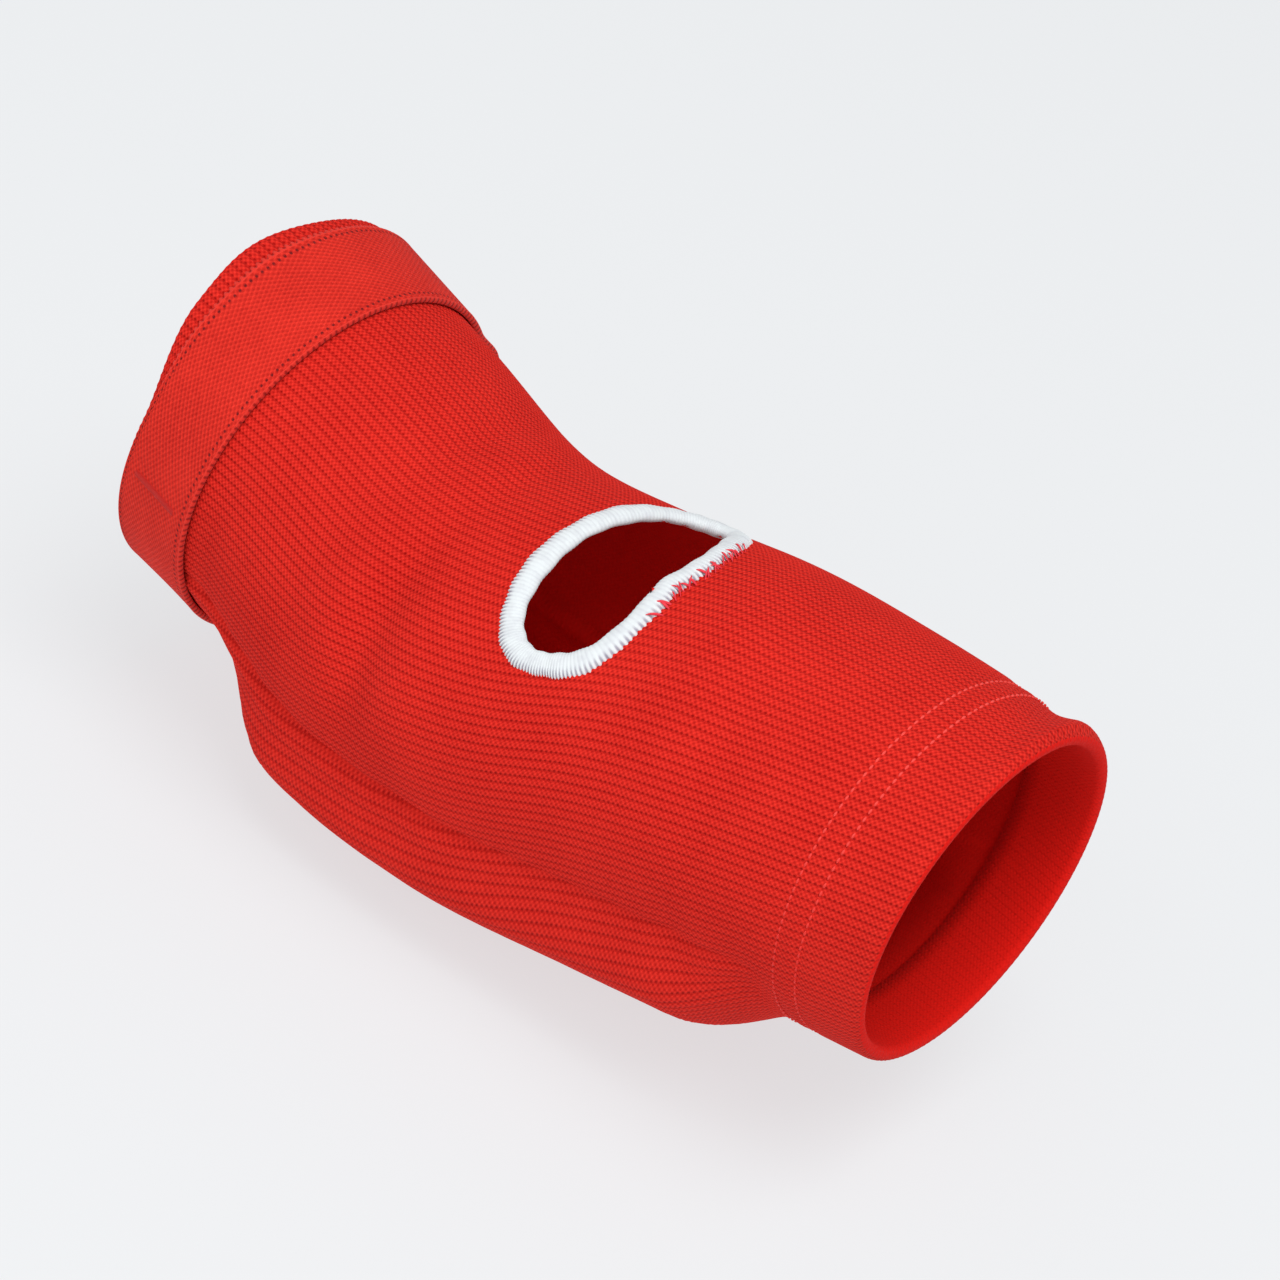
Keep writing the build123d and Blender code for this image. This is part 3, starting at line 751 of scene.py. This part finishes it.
def strap_band(name, across, low, high, start, turn, steps, climbs=False):
    """A flat band round the arm, from across[0] to across[1] over the strap's width, low to high
    above the knit. Its rounded-edge profile is carried from angle start through turn."""
    quarter = np.linspace(0, 1, 5) * np.pi / 2
    corner = min(0.5, (high - low) / 2)
    fillet = np.stack([1 - np.cos(quarter), 1 - np.sin(quarter)], axis=-1) * corner
    width = across[1] - across[0]
    inner_steps = np.linspace(0, 1, max(3, int(width / 2.5)))[1:-1]
    near_top = np.stack([across[0] + fillet[:, 0], high - fillet[:, 1]], axis=-1)
    far_top = np.stack([across[1] - fillet[::-1, 0], high - fillet[::-1, 1]], axis=-1)
    flat_top = np.stack([across[0] + width * inner_steps, np.full(len(inner_steps), high)], axis=-1)
    top = np.concatenate([near_top, flat_top, far_top])
    profile = np.concatenate([top, top[::-1] * [1, -1] + [0, high + low]])
    angle = (start + turn * np.linspace(0, 1, steps))[:, None]
    climb = step_up(angle) if climbs else 0 * angle
    points = strap_point(profile[None, :, 0], angle, profile[None, :, 1] + climb)
    faces = grid_faces(steps, len(profile), round_columns=True)
    run = np.concatenate([[0], np.cumsum(np.linalg.norm(np.diff(points[:, 0], axis=0), axis=-1))])
    girth = np.append(profile[:, 0], profile[0, 0])
    web_map = corner_values(girth, run, steps, len(profile), round_columns=True)
    piece = make_piece(name, points, faces, web_map, "web")
    close_poles(piece)
    return piece


def woven(name, face, shadow, width):
    """Woven elastic: fine covered-rubber cords run round the arm, bound by yarn floats two
    millimetres long that step along from cord to cord, and each edge has a row of needle holes."""
    material, tree, shader = fabric(name, 0.05, "F4584A", 0.85, 0.15)
    where = add(tree, "UVMap", uv_map="web")[0]
    parts = add(tree, "SeparateXYZ", {0: where})
    over = add(tree, "Math", {0: parts[0], 1: 2 * np.pi / CORD_PITCH}, operation="MULTIPLY")[0]
    cord = add(tree, "Math", {0: over}, operation="COSINE")[0]
    along = add(tree, "Math", {0: parts[1], 1: 2 * np.pi / FLOAT_PITCH}, operation="MULTIPLY")[0]
    step = add(tree, "Math", {0: along}, operation="COSINE")[0]
    cell = add(tree, "Math", {0: cord, 1: step}, operation="MULTIPLY")[0]
    place = add(tree, "TexCoord")[3]
    cloud = add(tree, "TexNoise", {"Vector": place, "Scale": CLOUD_SCALE, "Detail": 3.0})[0]
    fuzz = add(tree, "TexNoise", {"Vector": place, "Scale": FUZZ_SCALE, "Detail": 2.0})[0]
    middle = add(tree, "Math", {0: parts[0], 1: width / 2}, operation="SUBTRACT")[0]
    off = add(tree, "Math", {0: middle}, operation="ABSOLUTE")[0]
    near_row = add(tree, "Math", {0: off, 1: width / 2 - NEEDLE_INSET}, operation="SUBTRACT")[0]
    near_row = add(tree, "Math", {0: near_row}, operation="ABSOLUTE")[0]
    row = add(tree, "MapRange", {0: near_row, 1: 0.1, 2: 0.5, 3: 1.0, 4: 0.0})[0]
    prick = add(tree, "Math", {0: parts[1], 1: 2 * np.pi / NEEDLE_PITCH}, operation="MULTIPLY")[0]
    prick = add(tree, "Math", {0: prick}, operation="SINE")[0]
    prick = add(tree, "MapRange", {0: prick, 1: 0.1, 2: 0.8, 3: 0.0, 4: 1.0})[0]
    hole = add(tree, "Math", {0: row, 1: prick}, operation="MULTIPLY")[0]
    share = add(tree, "Math", {0: cell, 1: -0.26, 2: -0.06}, operation="MULTIPLY_ADD")[0]
    share = add(tree, "Math", {0: cloud, 1: 0.4, 2: share}, operation="MULTIPLY_ADD")[0]
    share = add(tree, "Math", {0: fuzz, 1: 0.5, 2: share}, operation="MULTIPLY_ADD")[0]
    share = add(tree, "Math", {0: share, 1: 0.0}, operation="ADD", use_clamp=True)[0]
    colour = add(tree, "Mix", {0: share, 6: linear(face), 7: linear(shadow)}, data_type="RGBA")[2]
    pricked = add(tree, "Math", {0: hole, 1: 0.85}, operation="MULTIPLY")[0]
    colour = add(tree, "Mix", {0: pricked, 6: colour, 7: linear(NEEDLE_SHADE)}, data_type="RGBA")[2]
    height = add(tree, "Math", {0: hole, 1: -1.2, 2: cell}, operation="MULTIPLY_ADD")[0]
    normal = add(tree, "Bump", {"Strength": 0.8, "Distance": 0.2 * MM, "Height": height})[0]
    tree.links.new(colour, shader["Base Color"])
    tree.links.new(normal, shader["Normal"])
    return material


# Polyester-covered elastic webbing, red, with a flat satin face.
WEBBING = woven("WovenElastic", "EA3527", "960403", STRAP_WIDTH)
strap_top = STRAP_LIFT + STRAP_THICKNESS
strap_across = (0, STRAP_WIDTH)
strap = strap_band(
    "strap_woven_elastic",
    strap_across, STRAP_LIFT, strap_top, TAB_ROOT, STRAP_TURN, 300, climbs=True,
)
strap.data.materials.append(WEBBING)
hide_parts("strap_elastic")
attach(strap, "upper_arm")

EDGE_PITCH_TURN = np.radians(2.05)
EDGE_STEPS = 6
EDGE_SIDES = 12
EDGE_HALF_HEIGHT = 0.84


def overlocked_edge(name, across, outward, body, tooth):
    """Thread wrapped over one edge of the strap: an oval tube, body millimetres to each side, that
    swells at every wrap by tooth millimetres on its outer side."""
    wraps = int(STRAP_TURN / EDGE_PITCH_TURN)
    count = wraps * EDGE_STEPS + 1
    angle = (TAB_ROOT + STRAP_TURN * np.linspace(0, 1, count))[:, None]
    wrap = 0.5 + 0.5 * np.cos(np.arange(count) * 2 * np.pi / EDGE_STEPS)[:, None]
    side = (np.arange(EDGE_SIDES) * 2 * np.pi / EDGE_SIDES)[None, :]
    half_width = body + tooth * wrap * ease(np.cos(side))
    lift = STRAP_LIFT + STRAP_THICKNESS / 2 + EDGE_HALF_HEIGHT * np.sin(side) + step_up(angle)
    points = strap_point(across + outward * half_width * np.cos(side), angle, lift)
    side_map, wrap_map = np.arange(EDGE_SIDES + 1) / EDGE_SIDES, np.arange(count) / EDGE_STEPS
    edge_map = corner_values(side_map, wrap_map, count, EDGE_SIDES, round_columns=True)
    faces = grid_faces(count, EDGE_SIDES, round_columns=True)
    piece = make_piece(name, points, faces, edge_map, "wrap")
    close_poles(piece)
    return piece


# Red polyester thread over the strap's cut edges, lighter than the weave and matt.
EDGE_THREAD = thread("StrapEdgeThread", "D93226", "7C0403", 0.05)
# Each edge: where it lies over the strap, its outer side, its half width and the size of its wraps.
EDGES = (("mouth", 0.35, -1, 0.5, 0.8), ("elbow", STRAP_WIDTH - 0.1, 1, 0.4, 0.05))
for name, across, outward, body, tooth in EDGES:
    edge = overlocked_edge(f"strap_edge_thread_{name}", across, outward, body, tooth)
    edge.data.materials.append(EDGE_THREAD)
    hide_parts(f"strap_edge_{name}")
    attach(edge, "upper_arm")

# ------------------------------------------------------------------------- strap's fastening and tacks
# The strap's free end comes back over its start as a tab with a bound tip. A hook patch sewn under
# it grips a loop patch on the strap, and two bar tacks hold the strap to the sleeve.
PATCH_INSET = 5.5
PATCH_START_INSET = np.radians(2.0)
LOOP_TURN = np.radians(46)
HOOK_TURN = np.radians(34)
# Patches to the metre, for pile of about 1.1 mm.
PILE_SCALE = 900.0


def tape(name, face, shadow, pitch, relief, pile):
    """Hook or loop tape: a staggered field of small tufts, pitch apart, on a woven ground."""
    material, tree, shader = fabric(name, 0.1, face, pile)
    where = add(tree, "UVMap", uv_map="web")[0]
    parts = add(tree, "SeparateXYZ", {0: where})
    over = add(tree, "Math", {0: parts[0], 1: np.pi / pitch}, operation="MULTIPLY")[0]
    over = add(tree, "Math", {0: over}, operation="COSINE")[0]
    along = add(tree, "Math", {0: parts[1], 1: np.pi / pitch}, operation="MULTIPLY")[0]
    along = add(tree, "Math", {0: along}, operation="COSINE")[0]
    tuft = add(tree, "Math", {0: over, 1: along}, operation="MULTIPLY")[0]
    place = add(tree, "TexCoord")[3]
    fuzz = add(tree, "TexNoise", {"Vector": place, "Scale": PILE_SCALE, "Detail": 3.0})[0]
    height = add(tree, "Math", {0: fuzz, 1: 0.9, 2: tuft}, operation="MULTIPLY_ADD")[0]
    share = add(tree, "MapRange", {0: height, 1: 1.2, 2: -0.8, 3: 0.0, 4: 1.0})[0]
    colour = add(tree, "Mix", {0: share, 6: linear(face), 7: linear(shadow)}, data_type="RGBA")[2]
    normal = add(tree, "Bump", {"Strength": 1.0, "Distance": relief * MM, "Height": height})[0]
    tree.links.new(colour, shader["Base Color"])
    tree.links.new(normal, shader["Normal"])
    return material


loop_low = strap_top + LAYER_GAP
hook_low = loop_low + PATCH_THICKNESS + LAYER_GAP
patch_across = (PATCH_INSET, STRAP_WIDTH - PATCH_INSET)
patch_start = TAB_TIP + PATCH_START_INSET
loop_patch = strap_band(
    "strap_loop_tape", patch_across, loop_low, loop_low + PATCH_THICKNESS, patch_start, LOOP_TURN, 50
)
# Brushed nylon loop tape, red and soft.
loop_patch.data.materials.append(tape("NylonLoopTape", "D22A22", "7E0705", 0.9, 0.5, 0.95))
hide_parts("strap_loop_patch")
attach(loop_patch, "upper_arm")

hook_start = TAB_TIP + TIP_TURN + PATCH_START_INSET
hook_patch = strap_band(
    "strap_hook_tape", patch_across, hook_low, hook_low + PATCH_THICKNESS, hook_start, HOOK_TURN, 40
)
# Moulded nylon hook tape, red, with a slight shine on its hooks.
hook_patch.data.materials.append(tape("NylonHookTape", "C22018", "640504", 1.5, 0.6, 0.5))
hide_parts("strap_hook_patch")
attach(hook_patch, "strap_end")

tab_top = TAB_LIFT + STRAP_THICKNESS
tab_turn = TAB_ROOT - TAB_TIP - TIP_TURN - ROOT_GAP
tab = strap_band(
    "strap_tab_elastic", strap_across, TAB_LIFT, tab_top, TAB_TIP + TIP_TURN, tab_turn, 60
)
tab.data.materials.append(WEBBING)
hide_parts("strap_tab")
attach(tab, "strap_end")

binding_across = (-0.2, STRAP_WIDTH + 0.2)
binding_turn = TIP_TURN - ROOT_GAP
binding = strap_band(
    "strap_tab_binding", binding_across, TAB_LIFT - 0.1, tab_top + 0.3, TAB_TIP, binding_turn, 12
)
# The binding is a fold of the same webbing, its weave closed up by the stitches.
binding.data.materials.append(woven("BoundElastic", "DC2E24", "8A0705", STRAP_WIDTH))
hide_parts("strap_tab_end_binding")
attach(binding, "strap_end")

# Radius that turns the stitches' angles to lengths.
STRAP_RADIUS = 50.0


def box_stitches(name, across, start, turn, height, pitch):
    """Floats end to end round a rectangle on the strap, pitch apart."""
    near, far = across
    corners = np.array([[near, 0], [far, 0], [far, 1], [near, 1], [near, 0]])
    length = np.array([far - near, turn * STRAP_RADIUS] * 2)
    counts = np.maximum(np.round(length / pitch).astype(int), 2)
    runs = [np.linspace(corners[i], corners[i + 1], counts[i] + 1) for i in range(4)]
    first = np.concatenate([run[:-1] for run in runs])
    last = np.concatenate([run[:-1] * 0.3 + run[1:] * 0.7 for run in runs])
    ends = [(STRAP_FROM + at[:, 0], start + turn * at[:, 1]) for at in (first, last)]
    return floats(name, ends, 0.55, 0.5, False, height)


stitch_across = (PATCH_INSET + 0.8, STRAP_WIDTH - PATCH_INSET - 0.8)
tab_stitches = box_stitches(
    "strap_tab_stitches", stitch_across, hook_start, HOOK_TURN, tab_top + 0.05, 2.2
)
tab_stitches.data.materials.append(HEM_THREAD)
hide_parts("strap_tab_stitching")
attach(tab_stitches, "strap_end")

TACK_ANGLES = np.radians([182.0, 268.0])
TACK_ROWS = 44
TACK_INSET = 5
TACK_HALF_WIDTH = 0.95
TACK_RADIUS = 46.0
tack_along = STRAP_FROM + np.linspace(TACK_INSET, STRAP_WIDTH - TACK_INSET, TACK_ROWS)
tack_along = np.tile(tack_along, len(TACK_ANGLES))
tack_angle = np.repeat(TACK_ANGLES, TACK_ROWS)
tack_half_turn = TACK_HALF_WIDTH / TACK_RADIUS
tacks = floats(
    "strap_bar_tack_threads",
    ((tack_along, tack_angle - tack_half_turn), (tack_along + 0.2, tack_angle + tack_half_turn)),
    0.42, 0.4, False, strap_top + 0.02,
)
# Red bar-tack thread, laid close, the same as the webbing to the eye.
tacks.data.materials.append(stitch_thread("BarTackThread", "CE241B", "BA1A13"))
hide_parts("strap_bar_tacks")
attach(tacks, "upper_arm")

# ------------------------------------------------------------------------------------------- studio
# Pale floor, lit from within as a light table is so that shadows stay faint, large soft lights
# and an even pale surround.
BACKDROP = bpy.data.materials.new("PaleStudioFloor")
BACKDROP.use_nodes = True
floor_shader = BACKDROP.node_tree.nodes["Principled BSDF"].inputs
floor_shader["Base Color"].default_value = linear("7C7D7E")
floor_shader["Roughness"].default_value = 0.9
floor_shader["Specular IOR Level"].default_value = 0.0
floor_shader["Emission Color"].default_value = linear("ECEEF0")
floor_shader["Emission Strength"].default_value = 0.76
FLOOR_REACH = 9000.0
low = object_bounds()[0].z / MM
floor_corners = np.array([[-1, -1], [1, -1], [1, 1], [-1, 1]]) * FLOOR_REACH
floor_points = np.column_stack([floor_corners, np.full(4, low)])
floor = make_piece("studio_floor", floor_points, np.array([[0, 1, 2, 3]]))
floor.data.materials.append(BACKDROP)

world = bpy.data.worlds.new("StudioSurround")
world.use_nodes = True
world.node_tree.nodes["Background"].inputs["Color"].default_value = linear("F4F5F6")
world.node_tree.nodes["Background"].inputs["Strength"].default_value = 0.58
bpy.context.scene.world = world


def soft_light(name, place, size, power):
    """Square area light aimed at the guard, place and size in metres."""
    lamp = bpy.data.lights.new(name, "AREA")
    lamp.size = size
    lamp.energy = power
    light = bpy.data.objects.new(name, lamp)
    light.location = place
    light.rotation_euler = (-Vector(place)).to_track_quat("-Z", "Y").to_euler()
    bpy.context.scene.collection.objects.link(light)


soft_light("key_softbox", (0.65, -0.35, 1.75), 1.2, 23.0)
soft_light("fill_softbox", (0.2, -1.5, 0.8), 1.4, 9.5)

# -------------------------------------------------------------------------------------------- camera
# Where it stands, in degrees: round from +X, up from the floor, and its tilt. The rest is in mm.
CAMERA_AZIMUTH, CAMERA_ELEVATION, CAMERA_TILT = np.radians([-55.37, 33.102, 15.761])
CAMERA_DISTANCE = 1000.0
CAMERA_OFFSET = (-8.05, -12.7)
LENS = 124.846875
SENSOR = 36.0


def aim_camera():
    """Camera that looks at the pivot from its place, turned by its tilt about the line of sight,
    and then moved sideways by CAMERA_OFFSET."""
    level = np.array([-np.sin(CAMERA_AZIMUTH), np.cos(CAMERA_AZIMUTH), 0.0])
    ground = np.array([np.cos(CAMERA_AZIMUTH), np.sin(CAMERA_AZIMUTH), 0.0])
    back = np.cos(CAMERA_ELEVATION) * ground + np.sin(CAMERA_ELEVATION) * np.array([0.0, 0.0, 1.0])
    over = np.cross(back, level)
    right = np.cos(CAMERA_TILT) * level + np.sin(CAMERA_TILT) * over
    up = np.cos(CAMERA_TILT) * over - np.sin(CAMERA_TILT) * level
    turn = np.stack([right, up, back])
    place = turn.T @ np.array([-CAMERA_OFFSET[0], -CAMERA_OFFSET[1], CAMERA_DISTANCE]) * MM
    data = bpy.data.cameras.new("studio_camera")
    data.sensor_width = SENSOR
    data.lens = LENS
    camera = bpy.data.objects.new("studio_camera", data)
    matrix = np.eye(4)
    matrix[:3, :3] = turn.T
    matrix[:3, 3] = place
    camera.matrix_world = Matrix(matrix.tolist())
    bpy.context.scene.collection.objects.link(camera)
    bpy.context.scene.camera = camera


aim_camera()
bpy.context.scene.view_settings.view_transform = "Standard"
